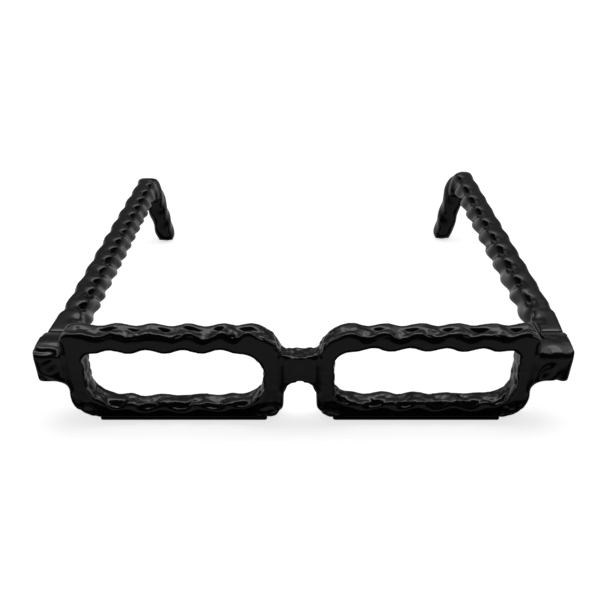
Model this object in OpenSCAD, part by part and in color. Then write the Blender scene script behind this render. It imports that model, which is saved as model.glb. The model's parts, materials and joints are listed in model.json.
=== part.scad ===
// Ornamental pair of spectacles with a carved, black-lacquered frame and open rims.
// It stands on the undersides of its rims and on its two temple tips. The temples fold on butt hinges.
// Left and right are as seen from the front. +X is right, +Y runs back along the temples, +Z is up.

/* [Front] */
// Width of one rim
rim_w = 74.3; // [64:0.1:90]
// Height of a rim
rim_h = 36.5; // [30:0.1:44]
// Depth of the rims, front to back
rim_depth = 8; // [6.5:0.1:10]
// Height of a rim's top bar
top_bar_h = 8.4; // [6:0.1:10]
// Height of a rim's bottom bar
bottom_bar_h = 6.5; // [5:0.1:8]
// Width of the left rim's side bars
left_side_bar_w = 7; // [5.5:0.1:8]
// Width of the right rim's side bars
right_side_bar_w = 6.2; // [5.5:0.1:8]
// Radius of a rim's upper corner beside the bridge
upper_inner_corner_r = 13; // [8:0.5:14]
// Radius of a rim's upper corner above the end piece
upper_outer_corner_r = 5; // [3:0.5:10]
// Radius of a rim's lower corner beside the bridge
lower_inner_corner_r = 6; // [4:0.5:12]
// Radius of a rim's lower corner below the end piece
lower_outer_corner_r = 9; // [4:0.5:12]
// Radius of the corners of the left opening
left_opening_corner_r = 8; // [4:0.5:9]
// Radius of the corners of the right opening
right_opening_corner_r = 5.5; // [4:0.5:9]
// Radius of an opening's upper corner near the end piece
opening_outer_corner_r = 3.5; // [2:0.5:9]
// Gap between the rims, which the bridge spans
bridge_gap = 11.4; // [8:0.1:18]
// Height of the bridge at its middle
bridge_h = 10.2; // [6:0.1:12]
// Height of the bridge's underside above the table, at its middle
bridge_z = 16.6; // [13:0.1:22]

/* [End pieces] */
// How far the left end piece stands out from its rim
left_end_w = 9.9; // [9:0.1:14]
// How far the right end piece stands out from its rim
right_end_w = 12.2; // [9:0.1:14]
// Height of an end piece
end_h = 13.2; // [11:0.1:16]
// Height of an end piece's underside above the table
end_z = 16.5; // [13:0.1:20]
// How far an end piece runs on behind the rims, to the temple's seam
end_run = 6; // [5.8:0.1:10]
// How far the left temple is set in from its end piece's outer face
left_inset = 1.7; // [-1.5:0.1:4]
// How far the right temple is set in from its end piece's outer face
right_inset = -1.3; // [-1.5:0.1:4]

/* [Temples] */
// Length of the left temple, from its seam to the back of its bend
left_temple_l = 138.5; // [110:0.5:170]
// Length of the right temple, from its seam to the back of its bend
right_temple_l = 140; // [110:0.5:170]
// Width of a temple
temple_w = 9; // [7.5:0.1:11]
// Height of a temple
temple_h = 11; // [9:0.1:13.2]
// How far the left temple rises from its seam to its bend
left_temple_rise = 8.5; // [0:0.5:14]
// How far the right temple rises from its seam to its bend
right_temple_rise = 11; // [0:0.5:14]
// How far a temple closes in between its seam and its bend
temple_toe_in = 5.5; // [0:0.5:6]
// Radius of the bend, on the temple's centreline
bend_r = 9; // [8:0.5:12]
// How far a hooked tip leans in for each millimetre that it drops
hook_lean = 0.16; // [0:0.01:0.35]

/* [Carving] */
// Distance from one carved scallop to the next
ripple_pitch = 12; // [8:0.5:18]
// Depth of a scallop
ripple_depth = 1.6; // [0.4:0.1:2]
// Size of the softened edges
edge_r = 1.2; // [0.8:0.1:1.6]

/* [Hinges] */
// Height of a hinge
hinge_h = 6.6; // [5.5:0.1:7]
// Thickness of a hinge leaf
leaf_t = 1; // [0.6:0.1:1.2]
// Length of the leaf on a temple
temple_leaf_l = 9; // [7.5:0.1:10]
// Radius of a knuckle
knuckle_r = 1.6; // [1.4:0.1:1.8]
// Radius of a hinge pin
pin_r = 0.75; // [0.6:0.05:0.9]
// Radius of a screw's thread
screw_r = 0.7; // [0.5:0.05:0.8]
// Length of a screw's thread below its leaf
screw_l = 3.4; // [2:0.1:4]
// Radius of a screw head
screw_head_r = 1.2; // [1:0.05:1.3]

/* [Pads] */
// Thickness of the rubber pads
pad_t = 0.8; // [0.5:0.1:1.5]
// How far the rubber strip under a rim is set in from the rim's front and back
rim_pad_inset = 0.5; // [0.3:0.1:2]
// Radius of the rubber disc under a temple tip
tip_pad_r = 3; // [2:0.1:3.4]

/* [Hidden] */

LEFT = -1;
RIGHT = 1;
eps = 0.01;

LACQUER = [0.03, 0.03, 0.035];
STEEL = [0.62, 0.62, 0.64];
RUBBER = [0.1, 0.1, 0.1];

// Clearances
seam_gap = 0.3;      // between an end piece and its temple
knuckle_gap = 0.15;  // beside and behind each knuckle
pin_fit = 0.05;      // around the pin, in the knuckle that turns
pin_seat = 0.02;     // around the pin, in the knuckles that hold it
screw_seat = 0.02;   // around a screw's thread
screw_rest = 0.3;    // beyond a screw's point
screw_head_gap = 0.2; // between the heads of two screws, at the least
rim_relief = 0.3;    // between a rim's back and what stands behind it

// The front, measured from its front face and the middle of the bridge
rim_in_x = bridge_gap / 2;
rim_out_x = rim_in_x + rim_w;
rim_mid_x = (rim_in_x + rim_out_x) / 2;
rim_mid_z = pad_t + rim_h / 2;
opening_h = rim_h - top_bar_h - bottom_bar_h;
end_depth = rim_depth + end_run;

function side_bar_w(side) = side == LEFT ? left_side_bar_w : right_side_bar_w;
function opening_corner_r(side) = side == LEFT ? left_opening_corner_r : right_opening_corner_r;
// How far an opening's middle lies above its rim's
function opening_shift_z(side) = (bottom_bar_h - top_bar_h) / 2 + (side == LEFT ? -0.2 : 0.6);
function half_w(side) = rim_out_x + (side == LEFT ? left_end_w : right_end_w);

// The temples
temple_y = end_depth + seam_gap;
temple_z = end_z + end_h - temple_h / 2 - 0.8;
flare_l = 30;        // over which an end piece's outer face runs across to its temple's

function inset(side) = side == LEFT ? left_inset : right_inset;
function temple_l(side) = side == LEFT ? left_temple_l : right_temple_l;
function temple_rise(side) = side == LEFT ? left_temple_rise : right_temple_rise;
function temple_outer_x(side) = half_w(side) - inset(side);
function temple_inner_x(side) = temple_outer_x(side) - temple_w;
function outer_face_x(side, y) = half_w(side) - inset(side) * smooth(y / flare_l);

// The hinges
hinge_y = end_depth + seam_gap / 2;
hinge_z = temple_z - hinge_h / 2;
hinge_setback = knuckle_r + knuckle_gap;  // from a temple's inner face to its hinge axis
knuckle_h = (hinge_h - 2 * knuckle_gap) / 3;
screw_margin = screw_head_r + 0.4;        // from a leaf's edge to a screw's centre
front_leaf_y = rim_depth + rim_relief;
front_leaf_end_y = hinge_y - hinge_setback;
front_screw_y = (front_leaf_y + front_leaf_end_y) / 2;
front_screw_margin = min(screw_margin, hinge_h / 2 - screw_head_r - screw_head_gap / 2);
front_screw_zs = [hinge_z + front_screw_margin, hinge_z + hinge_h - front_screw_margin];
temple_leaf_y = hinge_y + hinge_setback;
temple_leaf_end_y = temple_y + temple_leaf_l;
temple_screw_ys = [temple_leaf_y + screw_margin, temple_leaf_end_y - screw_margin];

function hinge_x(side) = temple_inner_x(side) - hinge_setback;

// ---- Shared shapes ----

function unit(v) = v / norm(v);
function smooth(t) = let (c = max(0, min(1, t))) c * c * (3 - 2 * c);
// One scallop for each whole step of t: 0 on the ridges, 1 in the hollows
function wave(t) = (1 - cos(360 * t)) / 2;

// Section of a carved bar, u0 to u1 across and v0 to v1 deep. Corner i has a soft edge of size c[i].
SIDES = 12;
EDGE_PULL = 0.3;     // how far a soft edge's middle point is drawn in, as a share of the edge
function bar_section(u0, u1, v0, v1, c) = let (k = EDGE_PULL * c) [
  [u0, v0 + c[0]], [u0 + k[0], v0 + k[0]], [u0 + c[0], v0],
  [u1 - c[1], v0], [u1 - k[1], v0 + k[1]], [u1, v0 + c[1]],
  [u1, v1 - c[2]], [u1 - k[2], v1 - k[2]], [u1 - c[2], v1],
  [u0 + c[3], v1], [u0 + k[3], v1 - k[3]], [u0, v1 - c[3]]
];

// Triangles that join ring after ring of SIDES points
function skin(rings, joined) = [
  for (i = [0 : rings - (joined ? 1 : 2)], k = [0 : SIDES - 1])
    let (a = i * SIDES, b = ((i + 1) % rings) * SIDES, n = (k + 1) % SIDES)
      each [[a + k, a + n, b + n], [a + k, b + n, b + k]]
];

module swept_ring(rings) {
  polyhedron([for (r = rings) each r], skin(len(rings), true));
}

module swept_bar(rings) {
  last = (len(rings) - 1) * SIDES;
  polyhedron([for (r = rings) each r], concat(
    skin(len(rings), false),
    [[for (k = [SIDES - 1 : -1 : 0]) k]],
    [[for (k = [0 : SIDES - 1]) last + k]]
  ));
}

module mirrored(side) {
  if (side == LEFT) mirror([1, 0, 0]) children();
  else children();
}

// ---- Rims ----

corner_steps = 8;
rim_step = 2.2;      // between rings along the straight bars
bars_across = round((rim_w - upper_inner_corner_r - upper_outer_corner_r) / rim_step);
bars_up = round((rim_h - upper_inner_corner_r - lower_inner_corner_r) / rim_step);

function arc_steps(cx, cz, r, from) = [
  for (i = [0 : corner_steps - 1])
    [cx + r * cos(from + 90 * i / corner_steps), cz + r * sin(from + 90 * i / corner_steps)]
];
function line_steps(a, b, n) = [for (i = [0 : n - 1]) a + (b - a) * i / n];

// A rounded rectangle with corners of radius r[0] to r[3], anticlockwise from the upper right one
function loop(w, h, r) = let (x = w / 2, z = h / 2) concat(
  line_steps([x, r[3] - z], [x, z - r[0]], bars_up), arc_steps(x - r[0], z - r[0], r[0], 0),
  line_steps([x - r[0], z], [r[1] - x, z], bars_across), arc_steps(r[1] - x, z - r[1], r[1], 90),
  line_steps([-x, z - r[1]], [-x, r[2] - z], bars_up), arc_steps(r[2] - x, r[2] - z, r[2], 180),
  line_steps([r[2] - x, -z], [x - r[3], -z], bars_across), arc_steps(x - r[3], r[3] - z, r[3], 270)
);

// Corner radii in the order that loop takes, from upper inner, upper outer, lower outer and lower inner
function corners(side, r) = side == LEFT ? r : [r[1], r[0], r[3], r[2]];

function rim_outline(side) = loop(rim_w, rim_h, corners(side,
  [upper_inner_corner_r, upper_outer_corner_r, lower_outer_corner_r, lower_inner_corner_r]));
function opening_outline(side) = let (
  w = rim_w - 2 * side_bar_w(side),
  r = opening_corner_r(side)
) [
  for (p = loop(w, opening_h, corners(side, [r, opening_outer_corner_r, r, r])))
    p + [0, opening_shift_z(side)]
];

// Where a rim's ridges lie: on its top, under its top bar and on its bottom bar
function ridge_xs(side) = side == LEFT ? [-6.3, -1.9, -5.3] : [-1.6, -0.8, -1];

// 0 near a rim's corners and 1 along its bars. x runs outwards from the rim's middle.
function along_bar(x, inner_r, outer_r) = smooth((rim_w / 2 - (x < 0 ? inner_r : outer_r) + 3 - abs(x)) / 6);

// One ring of a rim, from point i of the opening's outline to point o of the rim's. The scallops run
// round the top bar and along the upper face of the bottom bar.
function rim_ring(side, o, i) = let (
  across = unit(o - i),
  thick = norm(o - i),
  ridges = ridge_xs(side),
  top = smooth(across[1] * 2) * along_bar(side * o[0], upper_inner_corner_r, upper_outer_corner_r),
  bottom = smooth(-across[1] * 2) * along_bar(side * o[0], lower_inner_corner_r, lower_outer_corner_r),
  t = (o[0] - ridges[0]) / ripple_pitch,
  t_under = (i[0] - ridges[1]) / ripple_pitch,
  t_lower = (i[0] - ridges[2]) / ripple_pitch,
  outer = ripple_depth * 0.8 * wave(t) * top,
  inner = ripple_depth * (0.9 * wave(t_under) * top + 0.75 * wave(t_lower) * bottom),
  back = ripple_depth * 0.4 * wave(t + 0.3) * max(top, bottom),
  edges = edge_r * [
    0.7 + 0.3 * wave(t_under) * top + (0.6 + 0.6 * wave(t_lower)) * bottom,
    1 + (1 + 0.8 * wave(t + 0.2)) * top - 0.6 * bottom,
    1 + 0.3 * wave(t - 0.2) * top - 0.6 * bottom,
    0.8 + 0.4 * wave(t_lower + 0.4) * bottom
  ]
) [
  for (p = bar_section(inner, thick - outer, 0, rim_depth - back, edges))
    [i[0] + across[0] * p[0], p[1], i[1] + across[1] * p[0]]
];

module rim(side) {
  outer = rim_outline(side);
  inner = opening_outline(side);
  color(LACQUER)
    translate([side * rim_mid_x, 0, rim_mid_z])
      swept_ring([for (i = [0 : len(outer) - 1]) rim_ring(side, outer[i], inner[i])]);
}

// The space inside a rim's outline, which the bridge and end pieces are fitted to
module rim_space(side) {
  translate([side * rim_mid_x, rim_depth + rim_relief, rim_mid_z])
    rotate([90, 0, 0]) linear_extrude(rim_depth + 2 * rim_relief) polygon(rim_outline(side));
}

// ---- Bridge ----

module bridge() {
  setback = 0.9;       // from the rims' front and back faces
  shoulder = 4.5;      // how far it runs out over the rims' corners
  half_w = rim_in_x + shoulder;
  arch_r = rim_in_x - 1.2;
  saddle_r = 2.6 * rim_in_x + 8;
  top_z = bridge_z + bridge_h;
  color(LACQUER)
    difference() {
      translate([-half_w, setback, bridge_z - shoulder])
        cube([2 * half_w, rim_depth - 2 * setback, bridge_h + 2 * shoulder]);
      translate([0, rim_depth / 2, bridge_z - arch_r])
        rotate([90, 0, 0]) cylinder(r = arch_r, h = 2 * rim_depth, center = true, $fn = 64);
      translate([0, rim_depth / 2, top_z + saddle_r])
        rotate([90, 0, 0]) cylinder(r = saddle_r, h = 2 * rim_depth, center = true, $fn = 96);
      for (side = [LEFT, RIGHT]) rim_space(side);
    }
}

// ---- End pieces ----

// An end piece's outline from above: front, outer face, seam, and the side that the leaf lies on
function end_outline(side) = let (
  r = 1.5,
  root_x = rim_out_x - 3,
  x = half_w(side),
  steps = 6
) concat(
  [[root_x, rim_relief]],
  [for (i = [0 : 3]) [x - r + r * sin(30 * i), rim_relief + r - r * cos(30 * i)]],
  [for (i = [1 : steps]) let (y = rim_relief + r + (end_depth - rim_relief - r) * i / steps)
    [outer_face_x(side, y), y]],
  [[temple_inner_x(side), end_depth], [temple_inner_x(side), front_leaf_y], [root_x, front_leaf_y]]
);

module end_piece(side) {
  crown_y = rim_depth;  // how far back its domed top is highest
  crown_r = 17;
  web_r = 4;            // of the hollow between its underside and the rim's side
  color(LACQUER)
    mirrored(side)
      difference() {
        union() {
          intersection() {
            translate([0, 0, end_z]) linear_extrude(end_h) polygon(end_outline(side));
            translate([rim_out_x, crown_y, end_z + end_h - crown_r])
              rotate([0, 90, 0]) cylinder(r = crown_r, h = 4 * rim_depth, center = true, $fn = 96);
          }
          translate([rim_out_x - 1, 2 * rim_relief, end_z - web_r])
            cube([web_r + 1, rim_depth - 4 * rim_relief, web_r + 1]);
        }
        translate([rim_out_x + web_r, rim_depth / 2, end_z - web_r])
          rotate([90, 0, 0]) cylinder(r = web_r, h = 2 * rim_depth, center = true, $fn = 48);
        rim_space(RIGHT);
        screw_bores(side, [front_screw_y], front_screw_zs);
      }
}

// ---- Temples ----

temple_step = 2;     // between rings along a temple
hook_w = 9.8;        // width of a hooked tip
bend_angle = 92;     // how far the bend turns down
bend_steps = 9;
hook_steps = 7;
plain_l = 3;         // from the end of the hinge leaf to where the carving starts

function straight_end_y(side) = temple_y + temple_l(side) - bend_r - temple_h / 2;
function straight_steps(side) = round((straight_end_y(side) - temple_y) / temple_step);
function slope(side) = temple_rise(side) / (straight_end_y(side) - temple_y);

// Each station along a temple holds its centreline's point, its direction, and the way up across it
function straight_stations(side) = let (
  n = straight_steps(side),
  end_y = straight_end_y(side),
  toe_y = temple_leaf_end_y + plain_l,
  mid_x = temple_outer_x(side) - temple_w / 2
) [
  for (i = [0 : n]) let (
    y = temple_y + (end_y - temple_y) * i / n,
    x = mid_x - temple_toe_in * max(0, (y - toe_y) / (end_y - toe_y)),
    z = temple_z + slope(side) * (y - temple_y)
  ) [[x, y, z], [0, 1, 0], [0, 0, 1]]
];

function bend_stations(side, start) = let (
  run = unit([0, 1, slope(side)]),
  lean = unit([-hook_lean, 0, -1]),
  drop = unit(lean - (lean * run) * run)
) [
  for (i = [1 : bend_steps]) let (a = bend_angle * i / bend_steps)
    [start + bend_r * (sin(a) * run + (1 - cos(a)) * drop),
     cos(a) * run + sin(a) * drop, sin(a) * run - cos(a) * drop]
];

function hook_stations(end) = let (reach = (end[0][2] - pad_t) / -end[1][2]) [
  for (i = [1 : hook_steps]) [end[0] + end[1] * reach * i / hook_steps, end[1], end[2]]
];

function temple_stations(side) = let (
  straight = straight_stations(side),
  bend = bend_stations(side, straight[len(straight) - 1][0]),
  hook = hook_stations(bend[bend_steps - 1])
) concat(straight, bend, hook);

// Ring i of a temple: scallops all round, but none where the hinge leaf lies or at the foot
function temple_ring(side, st, i, count) = let (
  t = i * temple_step / ripple_pitch,
  run = st[1],
  up = st[2],
  out = cross(run, up),
  bent = straight_steps(side),
  hooked = smooth((i - bent) / bend_steps),
  foot = smooth((count - 1 - i) / 3),
  carved = smooth((st[0][1] - temple_leaf_end_y) / 8) * foot,
  half_w = (temple_w * (1 - hooked) + hook_w * hooked) / 2 * (0.8 + 0.2 * foot),
  half_h = temple_h / 2 * (0.8 + 0.2 * foot),
  flare = i <= bent ? outer_face_x(side, st[0][1]) - temple_outer_x(side) : 0,
  d = ripple_depth * carved,
  edges = edge_r * [
    1 + 1.0 * wave(t + 0.5) * carved,
    1 + 0.6 * wave(t + 0.8) * carved,
    1 + 0.8 * wave(t + 0.1) * carved,
    1 + 1.8 * wave(t + 0.3) * carved
  ],
  section = bar_section(
    -half_w + 0.5 * d * wave(t + 0.4), half_w + flare - 0.6 * d * wave(t),
    -half_h + 0.5 * d * wave(t + 0.7), half_h - 0.25 * d * wave(t + 0.2), edges)
) [for (p = section) st[0] + out * p[0] + up * p[1]];

// Slides a ring's points along the bar until they all lie on the foot's plane
function cut_level(ring, run) = [for (p = ring) p + run * (pad_t - p[2]) / run[2]];

function temple_rings(side) = let (stations = temple_stations(side), count = len(stations)) [
  for (i = [0 : count - 1]) let (ring = temple_ring(side, stations[i], i, count))
    i == count - 1 ? cut_level(ring, stations[i][1]) : ring
];

module temple(side) {
  color(LACQUER)
    mirrored(side)
      difference() {
        swept_bar(temple_rings(side));
        screw_bores(side, temple_screw_ys, [temple_z]);
      }
}

// ---- Hinges ----

// Bores for a leaf's screws, through the leaf and into the piece that it is screwed to
module screw_bores(side, ys, zs) {
  for (y = ys, z = zs)
    translate([temple_inner_x(side) - leaf_t - eps, y, z])
      rotate([0, 90, 0])
        cylinder(r = screw_r + screw_seat, h = leaf_t + screw_l + screw_rest, $fn = 24);
}

module leaf_plate(side, y0, y1) {
  translate([temple_inner_x(side) - leaf_t, y0, hinge_z]) cube([leaf_t, y1 - y0, hinge_h]);
}

// Knuckle i, counted from the bottom, with the strap that joins it to a leaf behind it or in front
module knuckle(side, i, bore_r, behind) {
  strap_x = hinge_setback - leaf_t;
  strap_l = hinge_setback + eps;
  translate([hinge_x(side), hinge_y, hinge_z + i * (knuckle_h + knuckle_gap)])
    difference() {
      union() {
        cylinder(r = knuckle_r, h = knuckle_h, $fn = 48);
        translate([strap_x, behind ? 0 : -strap_l, 0])
          cube([knuckle_r - strap_x, strap_l, knuckle_h]);
      }
      translate([0, 0, -eps]) cylinder(r = bore_r, h = knuckle_h + 2 * eps, $fn = 32);
    }
}

module front_leaf(side) {
  color(STEEL)
    mirrored(side) {
      difference() {
        leaf_plate(side, front_leaf_y, front_leaf_end_y);
        screw_bores(side, [front_screw_y], front_screw_zs);
      }
      for (i = [0, 2]) knuckle(side, i, pin_r + pin_seat, false);
    }
}

module temple_leaf(side) {
  color(STEEL)
    mirrored(side) {
      difference() {
        leaf_plate(side, temple_leaf_y, temple_leaf_end_y);
        screw_bores(side, temple_screw_ys, [temple_z]);
      }
      knuckle(side, 1, pin_r + pin_fit, true);
    }
}

// Slotted screws whose heads lie on a leaf
module leaf_screws(side, ys, zs) {
  head_h = 0.6;
  slot_w = 0.35;
  color(STEEL)
    mirrored(side)
      for (y = ys, z = zs)
        translate([temple_inner_x(side) - leaf_t, y, z])
          difference() {
            union() {
              rotate([0, 90, 0]) cylinder(r = screw_r, h = leaf_t + screw_l, $fn = 24);
              rotate([0, -90, 0]) cylinder(r = screw_head_r, h = head_h, $fn = 32);
            }
            translate([-head_h - eps, -screw_head_r, -slot_w / 2])
              cube([head_h / 2, 2 * screw_head_r, slot_w]);
          }
}

module front_leaf_screws(side) {
  leaf_screws(side, [front_screw_y], front_screw_zs);
}

module temple_leaf_screws(side) {
  leaf_screws(side, temple_screw_ys, [temple_z]);
}

module hinge_pin(side) {
  head_h = 0.6;
  foot_h = 0.5;
  color(STEEL)
    mirrored(side)
      translate([hinge_x(side), hinge_y, hinge_z]) {
        translate([0, 0, -foot_h]) cylinder(r = pin_r, h = hinge_h + foot_h + eps, $fn = 32);
        translate([0, 0, hinge_h]) cylinder(r = 0.9 * knuckle_r, h = head_h, $fn = 32);
      }
}

// ---- Pads ----

module rim_pad(side) {
  r = 1;
  out_x = rim_w / 2 - lower_outer_corner_r - r;
  in_x = r + lower_inner_corner_r - rim_w / 2;
  y = rim_depth / 2 - rim_pad_inset - r;
  centres = [[out_x, y, 0], [in_x, y, 90], [in_x, -y, 180], [out_x, -y, 270]];
  color(RUBBER)
    mirrored(side)
      translate([rim_mid_x, rim_depth / 2, 0])
        linear_extrude(pad_t)
          polygon([
            for (c = centres, i = [0 : corner_steps]) let (a = c[2] + 90 * i / corner_steps)
              [c[0] + r * cos(a), c[1] + r * sin(a)]
          ]);
}

module tip_pad(side) {
  stations = temple_stations(side);
  foot = stations[len(stations) - 1][0];
  color(RUBBER)
    mirrored(side)
      translate([foot[0], foot[1], 0]) cylinder(r = tip_pad_r, h = pad_t, $fn = 48);
}

// ---- Assembly, centred over its own footprint ----

// How far a side's temple reaches along an axis: 0 is outwards and 1 is back
function reach(side, axis) = max([for (ring = temple_rings(side), p = ring) p[axis]]);

widest = [for (side = [LEFT, RIGHT]) max(half_w(side), reach(side, 0))];
longest = max(reach(LEFT, 1), reach(RIGHT, 1));
translate([(widest[0] - widest[1]) / 2, -longest / 2, 0]) {
  rim(LEFT);  // left_rim
  rim(RIGHT);  // right_rim
  bridge();
  end_piece(LEFT);  // left_end_piece
  end_piece(RIGHT);  // right_end_piece
  front_leaf(LEFT);  // left_front_leaf
  front_leaf(RIGHT);  // right_front_leaf
  front_leaf_screws(LEFT);  // left_front_leaf_screws
  front_leaf_screws(RIGHT);  // right_front_leaf_screws
  temple(LEFT);  // left_temple
  temple(RIGHT);  // right_temple
  temple_leaf(LEFT);  // left_temple_leaf
  temple_leaf(RIGHT);  // right_temple_leaf
  temple_leaf_screws(LEFT);  // left_temple_leaf_screws
  temple_leaf_screws(RIGHT);  // right_temple_leaf_screws
  hinge_pin(LEFT);  // left_hinge_pin
  hinge_pin(RIGHT);  // right_hinge_pin
  rim_pad(LEFT);  // left_rim_pad
  rim_pad(RIGHT);  // right_rim_pad
  tip_pad(LEFT);  // left_tip_pad
  tip_pad(RIGHT);  // right_tip_pad
}
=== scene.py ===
"""Looks of a pair of black-lacquered ornamental spectacles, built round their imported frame.

The cast pieces (rims, bridge, end pieces and temples) are copied from the frame, fused where they are
joined, carved with the dimples and flutes of the casting, and parted again into one piece per node.
The hinges, pins, screws and pads keep their shapes and take materials of their own.
"""

import itertools
import json
import math

import bmesh
import bpy
import numpy as np
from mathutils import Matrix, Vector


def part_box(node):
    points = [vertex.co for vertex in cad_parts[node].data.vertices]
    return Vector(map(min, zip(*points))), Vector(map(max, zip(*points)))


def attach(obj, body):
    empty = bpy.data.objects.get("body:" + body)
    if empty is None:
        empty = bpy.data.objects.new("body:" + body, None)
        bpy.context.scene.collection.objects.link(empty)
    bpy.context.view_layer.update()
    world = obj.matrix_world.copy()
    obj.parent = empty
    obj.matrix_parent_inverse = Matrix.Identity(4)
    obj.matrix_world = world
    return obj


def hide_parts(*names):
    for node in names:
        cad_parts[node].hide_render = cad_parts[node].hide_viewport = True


MM = 0.001
FAR = 1.0             # beyond everything on the part, in metres
GRAIN = 0.4           # size of a casting's mesh faces, in mm
RELAX_ROUNDS = 9      # as many as smooth away the steps of a casting's new mesh
RELAX_SHARES = (0.6, -0.62)  # of the way to its neighbours' middle that a point goes, in and out
MELT_SHARE = 0.7
OPENING_INSET = 0.7   # how far the record's boxes keep clear of the openings' scallops, in mm
SIDES = ("left", "right")

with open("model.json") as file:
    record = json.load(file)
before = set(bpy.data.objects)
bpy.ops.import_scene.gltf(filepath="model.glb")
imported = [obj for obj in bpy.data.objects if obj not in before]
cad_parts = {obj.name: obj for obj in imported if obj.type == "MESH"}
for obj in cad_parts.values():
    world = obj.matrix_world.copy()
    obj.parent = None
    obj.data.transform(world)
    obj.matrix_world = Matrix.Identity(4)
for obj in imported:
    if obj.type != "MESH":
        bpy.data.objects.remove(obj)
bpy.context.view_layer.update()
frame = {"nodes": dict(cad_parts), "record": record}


# ---- Measures taken from the frame, in mm ----

def box_mm(node):
    low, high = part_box(node)
    return np.array(low) / MM, np.array(high) / MM


def opening_mm(side):
    """The clear box of a rim's opening, from the record."""
    boxes = frame["record"]["physics"]["openings"]
    found = next(b for b in boxes if b["name"] == side + "_lens_opening")
    return np.array(found["box_m"]) / MM


def inward(side):
    """The x direction that points from a side of the spectacles to their middle."""
    return 1 if side == "left" else -1


# ---- Fields: numbers worked out at each point of a surface ----

def smooth(low, high, x):
    t = np.clip((x - low) / (high - low), 0, 1)
    return t * t * (3 - 2 * t)


def wave(t):
    """1 on whole steps of t and 0 halfway between them."""
    return (1 + np.cos(2 * np.pi * t)) / 2


def spot(*offsets):
    """1 at a spot's middle, falling to nothing around it. Each offset is in radii."""
    return np.exp(-sum(o * o for o in offsets))


def band(x, low, high, soft):
    """1 between low and high, with soft ends."""
    return smooth(low - soft, low + soft, x) * (1 - smooth(high - soft, high + soft, x))


def lattice_table(seed, width):
    return np.random.default_rng(seed).uniform(-1, 1, (32, 32, 32, width))


def noise(points, size, seed):
    """Smooth noise from -1 to 1, with features of about that size."""
    table = lattice_table(seed, 1)[..., 0]
    cell = np.floor(points / size).astype(int)
    part = points / size - cell
    part = part * part * (3 - 2 * part)
    total = np.zeros(len(points))
    for corner in itertools.product((0, 1), repeat=3):
        share = np.prod(np.where(corner, part, 1 - part), axis=1)
        total += share * table[tuple(((cell + corner) % 32).T)]
    return total


def hammered(points, size, seed):
    """Domes with creases between them: 1 on each dome's middle, down to about 0 in the creases."""
    table = lattice_table(seed, 3) * 0.38 + 0.5
    scaled = points / size
    cell = np.floor(scaled).astype(int)
    nearest = np.full(len(points), np.inf)
    for offset in itertools.product((-1, 0, 1), repeat=3):
        near = cell + offset
        centre = near + table[tuple((near % 32).T)]
        nearest = np.minimum(nearest, ((scaled - centre) ** 2).sum(1))
    return 1 - np.minimum(nearest * 1.6, 1)


# ---- Castings: fused copies of CAD nodes, with a fine even mesh ----

def fused_copy(name, nodes):
    """A new object that fuses copies of the nodes into one closed surface."""
    bm = bmesh.new()
    for node in nodes:
        bm.from_mesh(frame["nodes"][node].data)
    mesh = bpy.data.meshes.new(name)
    bm.to_mesh(mesh)
    bm.free()
    piece = bpy.data.objects.new(name, mesh)
    bpy.context.collection.objects.link(piece)
    fuse = piece.modifiers.new("fuse", "REMESH")
    fuse.mode = "VOXEL"
    fuse.voxel_size = GRAIN * MM
    depsgraph = bpy.context.evaluated_depsgraph_get()
    piece.data = bpy.data.meshes.new_from_object(piece.evaluated_get(depsgraph))
    piece.data.shade_smooth()
    piece.modifiers.clear()
    return piece


def read(mesh, what):
    values = np.zeros(len(mesh.vertices) * 3)
    mesh.vertices.foreach_get(what, values)
    return values.reshape(-1, 3)


def move_points(mesh, points):
    mesh.vertices.foreach_set("co", points.ravel())
    mesh.update()


def neighbour_means(mesh):
    """A function that gives the middle of each vertex's neighbours, from all the points."""
    edges = np.zeros(len(mesh.edges) * 2, int)
    mesh.edges.foreach_get("vertices", edges)
    a, b = edges.reshape(-1, 2).T
    size = len(mesh.vertices)
    count = np.bincount(edges, minlength=size)

    def means(points):
        sums = [np.bincount(a, c[b], size) + np.bincount(b, c[a], size) for c in points.T]
        return np.stack(sums, axis=1) / count[:, None]

    return means


def relax(mesh, rounds):
    """Smooths the mesh by turns of shrinking and growing, which keep its size."""
    points, means = read(mesh, "co"), neighbour_means(mesh)
    for share in RELAX_SHARES * rounds:
        points += share * (means(points) - points)
    move_points(mesh, points)


def melt(mesh, where, rounds):
    """Rounds off edges and fills grooves, as much as where(points in mm) says, from 0 to 1."""
    points, means = read(mesh, "co"), neighbour_means(mesh)
    share = MELT_SHARE * where(points / MM)[:, None]
    for _ in range(rounds):
        points += share * (means(points) - points)
    move_points(mesh, points)


def carve(mesh, field):
    """Moves each point along its normal by field(points, normals), all in mm."""
    points, normals = read(mesh, "co"), read(mesh, "normal")
    rise = field(points / MM, normals)
    move_points(mesh, points + normals * rise[:, None] * MM)


def cut(bm, x, outward):
    """Cuts the mesh at a plane across x, drops what lies beyond it and closes the cut with flat faces."""
    geometry = bm.verts[:] + bm.edges[:] + bm.faces[:]
    made = bmesh.ops.bisect_plane(
        bm, geom=geometry, plane_co=(x, 0, 0), plane_no=(outward, 0, 0), clear_outer=True
    )
    edges = [g for g in made["geom_cut"] if isinstance(g, bmesh.types.BMEdge)]
    closed = bmesh.ops.triangle_fill(bm, use_beauty=True, edges=edges)
    for face in closed["geom"]:
        if isinstance(face, bmesh.types.BMFace):
            face.smooth = False
            if face.normal.x * outward < 0:
                face.normal_flip()


def slab(source, name, x0, x1):
    """A new object that holds what lies between two planes across x."""
    bm = bmesh.new()
    bm.from_mesh(source.data)
    if x0 > -FAR:
        cut(bm, x0, -1)
    if x1 < FAR:
        cut(bm, x1, 1)
    mesh = bpy.data.meshes.new(name)
    bm.to_mesh(mesh)
    bm.free()
    piece = bpy.data.objects.new(name, mesh)
    bpy.context.collection.objects.link(piece)
    return piece


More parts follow.
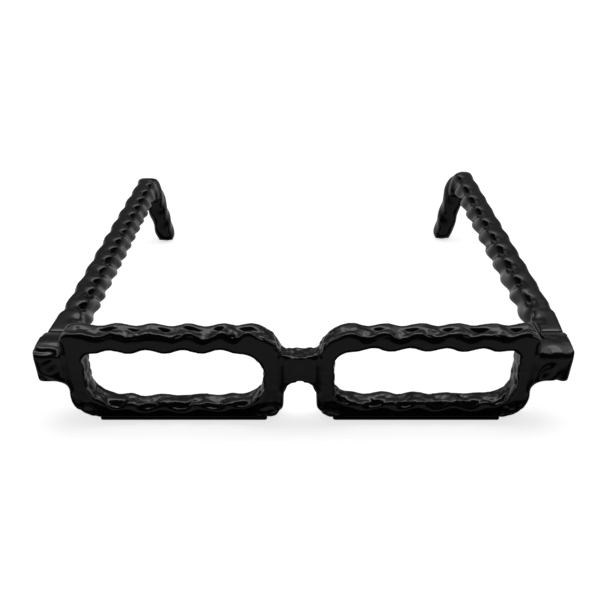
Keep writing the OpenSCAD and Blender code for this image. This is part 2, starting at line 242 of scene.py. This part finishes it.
def finish_piece(piece, node, body, material):
    piece.data.materials.clear()
    piece.data.materials.append(material)
    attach(piece, body)
    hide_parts(node)


# ---- Carving of the front ----

# Each u is a distance across from a rim's middle, and each v a distance back from its front face
PIT_START = {"left": -21, "right": -16.7}   # u of the first pit on a rim's top
PIT_PITCH = {"left": 9.3, "right": 11.35}
PIT_COUNT = {"left": 6, "right": 5}
PIT_V = 3.9
NODULE_V = 1.7        # of the nodule in front of each pit
NOTCH_V = 0.6         # of the notch between each two nodules
SILL_PIT = {"left": 0.7, "right": 5}        # u of a pit on a rim's bottom bar
SILL_PITCH = 11
SILL_PIT_V = 0.9
TOP_SLOPE = ((0, 0), (0.9, 0.1), (3, 0.6), (6, 0))  # v, and how far a rim's top is lowered there
TUCK = 0.075          # how far a bottom bar's front runs back for each mm that it falls
JOINT_ROUNDS = 45     # of melting where the bridge and the blocks meet the rims


def rim_frame(side, p):
    """Each point's place across a rim from its middle, and how far it lies behind the rim's front."""
    low, high = box_mm(side + "_rim")
    return p[:, 0] - (low[0] + high[0]) / 2, p[:, 1] - low[1], (high[0] - low[0]) / 2


def slope_bars(mesh):
    """Lowers the front of each rim's top bar, and tucks the front of its bottom bar back as it falls."""
    p = read(mesh, "co") / MM
    for side in SIDES:
        u, v, half_w = rim_frame(side, p)
        open_low, open_high = opening_mm(side)
        under = open_high[2] + OPENING_INSET
        high = smooth(under + 1, under + 5.5, p[:, 2]) * band(np.abs(u), -half_w, half_w - 2, 2)
        p[:, 2] -= high * np.interp(v, *zip(*TOP_SLOPE))
        drop = np.maximum(open_low[2] + 0.5 - p[:, 2], 0)
        p[:, 1] += TUCK * drop * (1 - smooth(2, 5, v)) * band(np.abs(u), -half_w, half_w, 1)
    move_points(mesh, p * MM)


def top_pits(side, u, v, chance):
    """A row of pits, each with a nodule in front of it, and notches between the nodules."""
    rise = 0
    for k in range(PIT_COUNT[side]):
        x = PIT_START[side] + k * PIT_PITCH[side] + chance.uniform(-0.5, 0.5)
        deep, wide, tall = chance.uniform(0.9, 1.4), chance.uniform(1.9, 2.7), chance.uniform(0.5, 1.0)
        rise -= deep * spot((u - x) / wide, (v - PIT_V + 0.12 * (u - x)) / 0.75)
        rise += tall * spot((u - x - 0.4) / 2.5, (v - NODULE_V) / 1.4)
        rise -= 0.6 * spot((u - x - PIT_PITCH[side] / 2) / 1.6, (v - NOTCH_V) / 1.4)
    return rise


def sill_pits(side, u, v, chance):
    rise = 0
    for k in range(-3, 4):
        x = SILL_PIT[side] + k * SILL_PITCH + chance.uniform(-0.8, 0.8)
        deep, wide = chance.uniform(0.9, 1.5), chance.uniform(2.0, 3.0)
        rise -= deep * spot((u - x) / wide, (v - SILL_PIT_V) / 1.3)
    return rise


def rim_rise(side, p, n):
    """A rim: dimples, pits and nodules along its top, pits along its sill, and rough walls and heels."""
    low = box_mm(side + "_rim")[0]
    open_low, open_high = opening_mm(side)
    u, v, half_w = rim_frame(side, p)
    z = p[:, 2]
    on_rim = band(np.abs(u), -half_w, half_w - 0.5, 1)
    up = smooth(0.2, 0.6, n[:, 2])
    inside = band(np.abs(u), -half_w, (open_high[0] - open_low[0]) / 2 + 4, 2)

    top = up * smooth(open_high[2] + 2, open_high[2] + 4, z) * on_rim
    sill = up * (1 - smooth(open_low[2] + 3, open_low[2] + 6, z)) * inside
    walls = smooth(0.4, 0.8, np.abs(n[:, 0])) * band(np.abs(u), 0, half_w - 3, 1)
    heel = band(np.abs(u), half_w - 9, half_w, 2) * (1 - smooth(low[2] + 4, low[2] + 9, z))

    lumps = hammered(p * (0.75, 1, 1), 4.4, 11)
    chips = hammered(p, 2.1, 12)

    rise = top * band(v, 0.6, 4.6, 0.8) * (0.6 * lumps - 0.4 + 0.15 * chips)
    chance = np.random.default_rng(17)
    rise += top * top_pits(side, u, v, chance)
    rise += sill * band(v, 0, 6.5, 1) * (0.75 * lumps - 0.4 + 0.2 * chips)
    rise += sill * sill_pits(side, u, v, chance)
    rise += walls * (0.9 * hammered(p, 3.6, 14) - 0.6)
    rise += heel * 0.5 * (hammered(p, 3.4, 15) - 0.6)
    return rise * on_rim


def bridge_rise(p, n):
    """The bridge: rough on top, scalloped underneath and faintly streaked in front."""
    half_w = (box_mm("right_rim")[0][0] - box_mm("left_rim")[1][0]) / 2
    u = p[:, 0] - (box_mm("right_rim")[0][0] + box_mm("left_rim")[1][0]) / 2
    over = band(np.abs(u), 0, half_w + 3, 1.5) * smooth(0.1, 0.6, n[:, 2])
    under = band(np.abs(u), 0, half_w + 2, 1) * smooth(0.1, 0.6, -n[:, 2])
    rough = 0.7 * hammered(p, 2.4, 21) + 0.3 * hammered(p, 1.3, 22) - 0.6
    front = band(np.abs(u), 0, half_w, 1.5) * smooth(0.5, 0.9, -n[:, 1])
    return 0.75 * over * rough - 0.45 * under * wave(u / 3.6) - 0.13 * front * wave(u / 2.7)


def end_rise(side, p, n):
    """An end block: folds or roughness on top, hollows in front and, on the right, one underneath."""
    out = -inward(side)
    low, high = box_mm(side + "_end_piece")
    rim_low, rim_high = box_mm(side + "_rim")
    rim_x = rim_high[0] if out > 0 else rim_low[0]
    u = (p[:, 0] - rim_x) * out
    v = p[:, 1] - low[1]
    z = (p[:, 2] - low[2]) / (high[2] - low[2])
    block = smooth(0.5, 2, u)
    front = smooth(0.5, 0.9, -n[:, 1]) * (1 - smooth(3, 5, v))
    crest = smooth(0.3, 0.7, n[:, 2]) * smooth(0.6, 0.8, z) * (1 - smooth(9, 11, v))
    belly = smooth(0.4, 0.8, -n[:, 2]) * (1 - smooth(7, 9, v))
    if side == "left":
        folds = wave((v - 0.35 * u + 1.6 * noise(p, 5, 31)) / 3.8)
        rise = -0.5 * block * crest * folds * (1 - smooth(3, 6, v))
        across = (z - 0.6 + 0.04 * (u - 4)) / 0.17
        rise -= 1.2 * block * front * across * spot((u - 4) / 3, across)
        rise -= 0.6 * block * front * spot((u - 7) / 3, (z - 0.2 - 0.02 * u) / 0.1)
    else:
        rise = 0.25 * block * crest * noise(p, 2.6, 32)
        rise -= 1.0 * block * front * spot((u - 3.4) / 1.9, (z - 0.5 - 0.04 * (u - 3.4)) / 0.13)
        rise -= 0.7 * block * front * spot((u - 9) / 1.8, (z - 0.3) / 0.16)
        rise -= 1.2 * block * belly * spot((u - 6) / 2.6)
    return rise


def clear_of_hinges(p):
    """1 away from the hinges and the temples' seams, and 0 at them, where nothing may stand proud."""
    keep = np.ones(len(p))
    for side in SIDES:
        low = box_mm(side + "_front_leaf")[0] - 1
        high = box_mm(side + "_temple_leaf")[1] + 1
        seam = box_mm(side + "_temple")[0][1]
        near = np.all((p > low) & (p < high), axis=1)
        keep[near] = 0
        keep *= 1 - spot((p[:, 1] - seam) / 1.2) * (np.abs(p[:, 0]) > min(abs(low[0]), abs(high[0])))
    return keep


def joints(p):
    """1 where the bridge and the end blocks meet the rims, and along the blocks' front edges."""
    near = np.zeros(len(p))
    bridge_low, bridge_high = box_mm("bridge")
    for side in SIDES:
        rim_low, rim_high = box_mm(side + "_rim")
        end_low, end_high = box_mm(side + "_end_piece")
        inner, outer = (rim_high[0], rim_low[0]) if side == "left" else (rim_low[0], rim_high[0])
        by_bridge = band(p[:, 0] - inner, -1.5, 1.5, 0.8) * band(p[:, 2], bridge_low[2], bridge_high[2], 1)
        by_block = band(p[:, 0] - outer, -1.8, 1.8, 0.8) * band(p[:, 2], end_low[2], end_high[2] + 3, 1.5)
        out = (p[:, 0] - outer) * -inward(side)
        edge = 0.5 * smooth(1, 2, out) * band(p[:, 1] - end_low[1], -1, 1.5, 0.6)
        near = np.maximum.reduce([near, by_bridge, by_block, edge])
    return near * clear_of_hinges(p)


def front_rise(p, n):
    """The whole front: slow waves, calmer on the front faces, and the carving of each piece."""
    calm = 1 - 0.75 * smooth(0.7, 0.95, -n[:, 1])
    rise = calm * (0.1 * noise(p, 5, 1) + 0.05 * noise(p, 2, 2)) + bridge_rise(p, n)
    for side in SIDES:
        rise += rim_rise(side, p, n) + end_rise(side, p, n)
    return rise * clear_of_hinges(p)


# ---- Carving of a temple ----

TEMPLE_W = 9
TEMPLE_H = 11
HOOK_W = 10.6
BEND_R = 9            # radius of the bend on a temple's centreline
BEND_L = 14           # length of the bend along it
HOOK_LEAN = 0.16      # how far a hook leans in for each millimetre that it drops
HOOK_ROUNDS = 30      # of melting over a hook
TIP_R = 4.5           # of the rounding at a hook's foot
TIP_SIZE = 0.66       # of the foot itself, as a share of the hook above it
FLUTE_PITCH = {"left": 7.9, "right": 11.3}
FLUTE_DEPTH = {"left": 1.3, "right": 1.6}
FLUTE_SLANT = 0.85    # how far a flute runs forward for each millimetre that it rises
PIT_DEPTH = {"left": 1.9, "right": 2.5}
SCALLOP_PITCH = 12    # of the scallops on a temple's outer side
SCALLOP_SLANT = 0.7
SCALLOP_DEPTH = {"left": 1.0, "right": 0.6}


def centre_lines(side, p):
    """How x and z go with y along the middle of a temple's straight run, fitted to slices across it."""
    low, high = box_mm(side + "_temple")
    slices = np.linspace(low[1] + 25, high[1] - 40, 12)
    straight = p[(p[:, 1] > slices[0]) & (p[:, 1] < slices[-1])]
    nearest = np.abs(straight[:, 1][:, None] - slices).argmin(1)
    groups = [straight[nearest == k] for k in range(len(slices))]
    middles = np.array([(group.min(0) + group.max(0)) / 2 for group in groups])
    return np.polyfit(middles[:, 1], middles[:, 0], 1), np.polyfit(middles[:, 1], middles[:, 2], 1)


def along_temple(side, p):
    """Each point's distance along the temple and past its bend's start, inwards and up from the centreline,
    its height over the foot, and the direction that is up across the temple there."""
    low, high = box_mm(side + "_temple")
    x_line, z_line = centre_lines(side, p)
    bend_y = high[1] - BEND_R - TEMPLE_H / 2
    bend_z = np.polyval(z_line, bend_y) - BEND_R
    y = np.minimum(p[:, 1], bend_y)
    behind = np.maximum(p[:, 1] - bend_y, 0)
    drop = np.maximum(bend_z - p[:, 2], 0)
    turn = np.arctan2(behind, np.maximum(p[:, 2] - bend_z, 1e-6))
    bent = p[:, 1] > bend_y
    past = np.where(bent, BEND_R * turn + drop, y - bend_y)
    radius = np.where(drop > 0, behind, np.hypot(behind, p[:, 2] - bend_z))
    w = np.where(bent, radius - BEND_R, p[:, 2] - np.polyval(z_line, y))
    lean = HOOK_LEAN * np.where(bent, BEND_R * (1 - np.cos(turn)) + drop, 0)
    u = (p[:, 0] - np.polyval(x_line, y)) * inward(side) - lean
    height = np.where(past > BEND_L / 2, p[:, 2] - low[2], 2 * TEMPLE_H)
    up = np.stack([0 * y, np.where(bent, np.sin(turn), 0), np.where(bent, np.cos(turn), 1)], axis=1)
    return y + past * bent, past, u, w, height, up


def even_out(mesh, side):
    """Draws a temple out to one even section, squarer along its straight run than at its hook."""
    leaf_end = box_mm(side + "_temple_leaf")[1][1]
    p = read(mesh, "co") / MM
    s, past, u, w, height, up = along_temple(side, p)
    hooked = smooth(0, BEND_L, past)
    half_w = (TEMPLE_W + (HOOK_W - TEMPLE_W) * hooked) / 2
    power = 4.5 - 2.3 * smooth(BEND_L / 2, BEND_L + 4, past)
    size = ((np.abs(u) / half_w) ** power + (np.abs(w) / (TEMPLE_H / 2)) ** power) ** (1 / power)
    share = smooth(leaf_end + 1, leaf_end + 9, s) * smooth(0.2, 0.8, height)
    tip = TIP_SIZE + (1 - TIP_SIZE) * np.sqrt(1 - (1 - np.clip(height / TIP_R, 0, 1)) ** 2)
    grow = share * (tip / np.maximum(size, 0.5) - 1)
    p += up * (grow * w)[:, None]
    p[:, 0] += grow * u * inward(side)
    move_points(mesh, p * MM)


def flute(mesh, side):
    """Presses slanted flutes, with a pit at the top of each, inside a temple, and scallops its outside."""
    seam = box_mm(side + "_temple")[0][1]
    leaf_end = box_mm(side + "_temple_leaf")[1][1]
    pitch = FLUTE_PITCH[side]
    p = read(mesh, "co") / MM
    s, past, u, w, height, up = along_temple(side, p)
    start = smooth(leaf_end + 1, leaf_end + 5, s)
    foot = smooth(1, 6, height)
    hooked = smooth(BEND_L / 2, BEND_L + 4, past)
    over_bend = band(past, 0, BEND_L, 4)

    phase = (s + FLUTE_SLANT * w + 0.8 * noise(p * (0, 1, 0), 9, 40)) / pitch
    hollow = 1 - wave(phase) ** 0.8
    from_hollow = (phase - 0.5 - np.round(phase - 0.5)) * pitch
    inner = FLUTE_DEPTH[side] * smooth(0, HOOK_W / 2, u) * hollow * start * foot * (1 - 0.5 * hooked)
    outside = smooth(0, HOOK_W / 2, -u)
    scallop = 1 - wave((s - SCALLOP_SLANT * w) / SCALLOP_PITCH)
    outer = outside * (SCALLOP_DEPTH[side] * scallop - 0.3) * start * foot
    front = 0.3 * hooked * smooth(0, TEMPLE_H / 2, -w) * hollow * foot
    root = smooth(seam + 1, seam + 3, s) * (1 - (1 - start) * (1 - 0.6 * smooth(2.6, 4.4, w)))
    deep = PIT_DEPTH[side] * (1 + 0.3 * noise(p * (0, 1, 0), 8, 43))
    pits = deep * spot((u - 3.6) / 2.2, (w - 5) / 2.4, from_hollow / (0.29 * pitch))
    pits *= (1 - hooked) * (1 - 0.6 * over_bend) * root
    across = outer - inner - 0.5 * pits
    p[:, 0] += across * inward(side)
    p += up * (front - 0.9 * pits)[:, None]
    move_points(mesh, p * MM)


def on_hook(side, p):
    """1 on a temple's hook, 0 along its straight run and at its foot."""
    _, past, _, _, height, _ = along_temple(side, p)
    return smooth(0, BEND_L, past) * smooth(0.5, 2, height)


def temple_field(side):
    """A field of fine texture along a temple, with a slight step down at its seam."""
    seam = box_mm(side + "_temple")[0][1]
    leaf_end = box_mm(side + "_temple_leaf")[1][1]

    def rise(p, n):
        s = along_temple(side, p)[0]
        start = smooth(leaf_end, leaf_end + 4, s)
        lip = smooth(0.5, 0.9, n[:, 2]) * np.exp(-np.maximum(s - seam, 0) / 0.8)
        texture = 0.12 * noise(p, 4.5, 41) + 0.05 * noise(p, 1.8, 42)
        return texture * start - 0.4 * lip

    return rise


# ---- The cast pieces ----

def build_front(material):
    order = ["left_end_piece", "left_rim", "bridge", "right_rim", "right_end_piece"]
    casting = fused_copy("casting", order)
    relax(casting.data, RELAX_ROUNDS)
    melt(casting.data, joints, JOINT_ROUNDS)
    slope_bars(casting.data)
    carve(casting.data, front_rise)
    relax(casting.data, 1)
    cuts = [-FAR]
    for side in SIDES:
        low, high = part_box(side + "_rim")
        cuts += [low.x, high.x]
    cuts.append(FAR)
    for node, x0, x1 in zip(order, cuts, cuts[1:]):
        finish_piece(slab(casting, "carved_" + node, x0, x1), node, "front", material)
    bpy.data.objects.remove(casting)


def build_temple(side, material):
    node = side + "_temple"
    piece = fused_copy("carved_" + node, [node])
    relax(piece.data, RELAX_ROUNDS)
    even_out(piece.data, side)
    flute(piece.data, side)
    melt(piece.data, lambda p: 0.5 + 0.5 * on_hook(side, p), 3)
    melt(piece.data, lambda p: 0.5 * on_hook(side, p), HOOK_ROUNDS)
    carve(piece.data, temple_field(side))
    relax(piece.data, 1)
    finish_piece(piece, node, node, material)


# ---- Materials ----

def new_material(name):
    material = bpy.data.materials.new(name)
    material.use_nodes = True
    nodes = material.node_tree.nodes
    return material, nodes, material.node_tree.links, nodes["Principled BSDF"]


def add_noise(nodes, links, scale, detail=3, roughness=0.5):
    """A noise texture over the row frame, whose scale is features per metre."""
    where = nodes.new("ShaderNodeTexCoord")
    texture = nodes.new("ShaderNodeTexNoise")
    texture.inputs["Scale"].default_value = scale
    texture.inputs["Detail"].default_value = detail
    texture.inputs["Roughness"].default_value = roughness
    links.new(where.outputs["Object"], texture.inputs["Vector"])
    return texture.outputs["Fac"]


def add_ramp(nodes, links, value, low, high, colours):
    ramp = nodes.new("ShaderNodeValToRGB")
    for element, place, colour in zip(ramp.color_ramp.elements, (low, high), colours):
        element.position = place
        element.color = (*colour, 1)
    links.new(value, ramp.inputs["Fac"])
    return ramp.outputs["Color"]


def add_range(nodes, links, value, low, high):
    spread = nodes.new("ShaderNodeMapRange")
    spread.inputs["From Min"].default_value = 0.3
    spread.inputs["From Max"].default_value = 0.7
    spread.inputs["To Min"].default_value = low
    spread.inputs["To Max"].default_value = high
    links.new(value, spread.inputs["Value"])
    return spread.outputs["Result"]


def add_bump(nodes, links, value, shader, distance):
    bump = nodes.new("ShaderNodeBump")
    bump.inputs["Distance"].default_value = distance
    links.new(value, bump.inputs["Height"])
    links.new(bump.outputs["Normal"], shader.inputs["Normal"])


def lacquer():
    """Glossy black lacquer over a casting: nearly black, with slow changes in tone and shine."""
    material, nodes, links, shader = new_material("black_lacquer")
    tone = add_noise(nodes, links, 160)
    colours = ((0.0012, 0.0012, 0.0014), (0.0026, 0.0026, 0.003))
    links.new(add_ramp(nodes, links, tone, 0.35, 0.65, colours), shader.inputs["Base Color"])
    shine = add_noise(nodes, links, 420, detail=4)
    links.new(add_range(nodes, links, shine, 0.1, 0.17), shader.inputs["Roughness"])
    add_bump(nodes, links, add_noise(nodes, links, 900, detail=4), shader, 0.00003)
    shader.inputs["IOR"].default_value = 1.5
    shader.inputs["Coat Weight"].default_value = 0.35
    shader.inputs["Coat Roughness"].default_value = 0.07
    return material


def steel(name, colour, roughness):
    """Satin steel with fine scratches."""
    material, nodes, links, shader = new_material(name)
    tone = add_noise(nodes, links, 700)
    darker = tuple(0.7 * c for c in colour)
    links.new(add_ramp(nodes, links, tone, 0.3, 0.7, (darker, colour)), shader.inputs["Base Color"])
    scratches = add_noise(nodes, links, 3500, detail=5, roughness=0.7)
    shine = add_range(nodes, links, scratches, roughness - 0.08, roughness + 0.1)
    links.new(shine, shader.inputs["Roughness"])
    add_bump(nodes, links, scratches, shader, 0.00002)
    shader.inputs["Metallic"].default_value = 1
    return material


def rubber():
    material, nodes, links, shader = new_material("rubber")
    tone = add_noise(nodes, links, 900)
    colours = ((0.006, 0.006, 0.006), (0.014, 0.014, 0.015))
    links.new(add_ramp(nodes, links, tone, 0.3, 0.7, colours), shader.inputs["Base Color"])
    links.new(add_range(nodes, links, tone, 0.55, 0.75), shader.inputs["Roughness"])
    add_bump(nodes, links, add_noise(nodes, links, 4000), shader, 0.00004)
    return material


def floor_material():
    material, nodes, links, shader = new_material("pale_floor")
    tone = add_noise(nodes, links, 3)
    colours = ((0.86, 0.86, 0.86), (0.9, 0.9, 0.9))
    links.new(add_ramp(nodes, links, tone, 0.3, 0.7, colours), shader.inputs["Base Color"])
    shader.inputs["Roughness"].default_value = 0.9
    shader.inputs["Emission Color"].default_value = (1, 1, 1, 1)
    shader.inputs["Emission Strength"].default_value = 0.75
    return material


def dress_cad_nodes():
    """Materials for the nodes that keep their CAD shape, by the record's slots."""
    looks = {
        "hinge_steel": steel("hinge_steel", (0.35, 0.35, 0.36), 0.34),
        "fastener_steel": steel("fastener_steel", (0.5, 0.5, 0.51), 0.28),
        "rubber": rubber(),
    }
    for part in frame["record"]["subparts"]:
        if part["material_slot"] in looks:
            data = frame["nodes"][part["node"]].data
            data.materials.clear()
            data.materials.append(looks[part["material_slot"]])


# ---- Stage ----

FLOOR_HALF = 5           # half the floor's width, in metres
CAMERA_LENS = 39         # in mm
CAMERA_BACK = 0.1752     # in front of the rims, in metres
CAMERA_HEIGHT = 0.1563
CAMERA_DOWN = 31.2       # degrees below level
STUDIO = (               # degrees from level behind the part, up and over to its front, and the light there
    (-180, 0.02), (-163, 0.15), (-147, 0.18), (-141, 0.15), (-138.5, 0.09), (-135.5, 0.01), (-127, 0.003),
    (-112, 0.05), (-80, 0.18), (-50, 0.25), (-36, 0.36), (-10, 0.44), (4, 0.22), (18, 0.12), (34, 0.12),
    (46, 0.3), (60, 0.85), (78, 0.9), (94, 0.15), (104, 0.02), (180, 0.02),
)


def build_floor():
    mesh = bpy.data.meshes.new("floor")
    corners = [(x * FLOOR_HALF, y * FLOOR_HALF, 0) for x, y in ((-1, -1), (1, -1), (1, 1), (-1, 1))]
    mesh.from_pydata(corners, [], [(0, 1, 2, 3)])
    floor = bpy.data.objects.new("floor", mesh)
    bpy.context.collection.objects.link(floor)
    mesh.materials.append(floor_material())
    floor.visible_glossy = False
    floor.visible_diffuse = False


def build_camera():
    left_low, left_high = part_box("left_rim")
    right_low, right_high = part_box("right_rim")
    data = bpy.data.cameras.new("camera")
    data.sensor_width = 36
    data.lens = CAMERA_LENS
    data.clip_start = 0.01
    camera = bpy.data.objects.new("camera", data)
    camera.location = ((left_high.x + right_low.x) / 2, left_low.y - CAMERA_BACK, CAMERA_HEIGHT)
    camera.rotation_euler = (math.radians(90 - CAMERA_DOWN), 0, 0)
    bpy.context.collection.objects.link(camera)
    bpy.context.scene.camera = camera


def area_light(name, place, target, size, power):
    data = bpy.data.lights.new(name, "AREA")
    data.shape = "RECTANGLE"
    data.size, data.size_y = size
    data.energy = power
    light = bpy.data.objects.new(name, data)
    light.location = place
    direction = np.array(target) - np.array(place)
    flat = math.hypot(direction[0], direction[1])
    light.rotation_euler = (math.atan2(flat, -direction[2]), 0, math.atan2(-direction[0], direction[1]))
    bpy.context.collection.objects.link(light)


def add_studio(nodes, links):
    """The studio's light, by the angle round the x axis that it comes from."""
    where = nodes.new("ShaderNodeTexCoord")
    split = nodes.new("ShaderNodeSeparateXYZ")
    links.new(where.outputs["Generated"], split.inputs[0])

    angle = nodes.new("ShaderNodeMath")
    angle.operation = "ARCTAN2"
    links.new(split.outputs["Z"], angle.inputs[0])
    links.new(split.outputs["Y"], angle.inputs[1])
    share = nodes.new("ShaderNodeMapRange")
    share.inputs["From Min"].default_value = -math.pi
    share.inputs["From Max"].default_value = math.pi
    links.new(angle.outputs[0], share.inputs["Value"])

    ramp = nodes.new("ShaderNodeValToRGB")
    elements = ramp.color_ramp.elements
    while len(elements) < len(STUDIO):
        elements.new(0.5)
    for element, (degrees, level) in zip(elements, STUDIO):
        element.position = (degrees + 180) / 360
        element.color = (level, level, level * 1.03, 1)
    links.new(share.outputs["Result"], ramp.inputs["Fac"])

    studio = nodes.new("ShaderNodeBackground")
    links.new(ramp.outputs["Color"], studio.inputs["Color"])
    return studio


def build_world():
    """White to the camera. Reflections see a studio, grey behind, bright overhead and dark in front."""
    world = bpy.data.worlds.new("studio")
    bpy.context.scene.world = world
    world.use_nodes = True
    nodes, links = world.node_tree.nodes, world.node_tree.links
    nodes.clear()
    studio = add_studio(nodes, links)
    white = nodes.new("ShaderNodeBackground")
    white.inputs["Color"].default_value = (1, 1, 1, 1)
    path = nodes.new("ShaderNodeLightPath")
    mix = nodes.new("ShaderNodeMixShader")
    output = nodes.new("ShaderNodeOutputWorld")
    links.new(path.outputs["Is Camera Ray"], mix.inputs[0])
    links.new(studio.outputs[0], mix.inputs[1])
    links.new(white.outputs[0], mix.inputs[2])
    links.new(mix.outputs[0], output.inputs[0])


def build_stage():
    build_floor()
    build_camera()
    build_world()
    area_light("softbox", (0, 0.15, 0.9), (0, 0, 0), (1.0, 0.4), 1.5)
    bpy.context.scene.view_settings.view_transform = "Standard"


def main():
    black = lacquer()
    build_front(black)
    for side in SIDES:
        build_temple(side, black)
    dress_cad_nodes()
    build_stage()


main()
